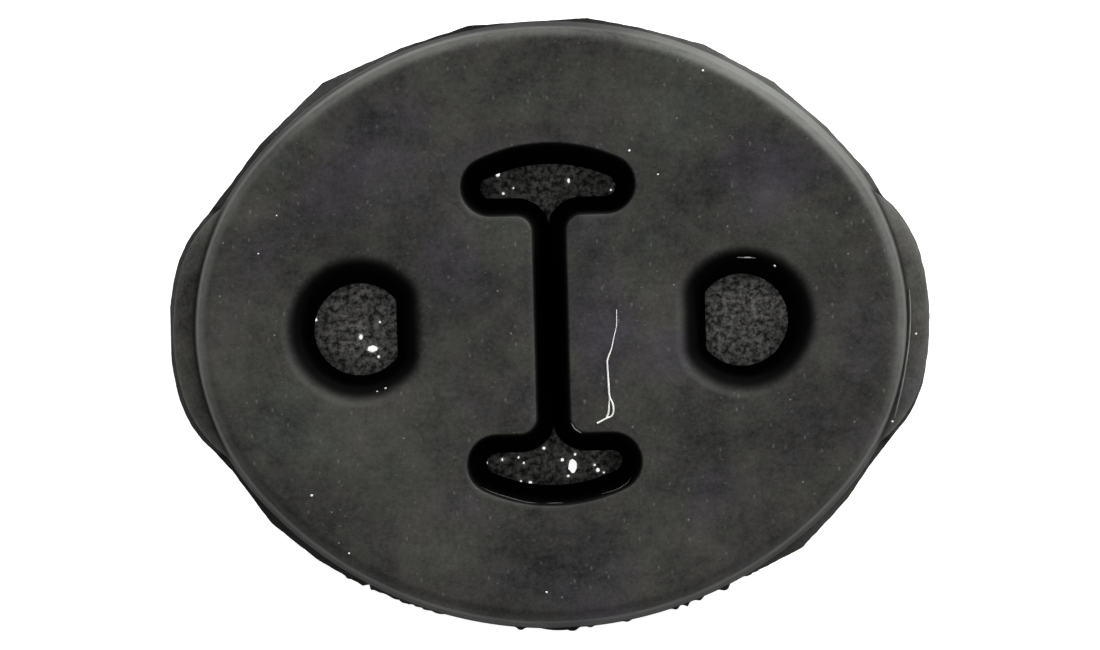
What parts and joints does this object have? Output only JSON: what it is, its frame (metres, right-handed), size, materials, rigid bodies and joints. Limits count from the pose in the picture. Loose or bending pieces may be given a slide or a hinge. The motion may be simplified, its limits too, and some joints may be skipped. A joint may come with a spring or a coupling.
{
  "type": "exhaust hanger",
  "caption": "Oval moulded rubber hanger with D-shaped bores, an I-shaped slot between them and low rounded lugs at its ends; carries an exhaust pipe under a car.",
  "frame": {"origin": "middle of the back face, which the hanger lies on", "axes": "+X through both bores, +Y along the slot, +Z along the bores, out of the front face"},
  "size_m": [0.0878, 0.0708, 0.03],
  "materials": {
    "rubber": "matt moulded rubber, charcoal grey, faintly mottled"
  },
  "bodies": {
    "root": {"rubber_hanger": "rubber"}
  },
  "joints": []
}
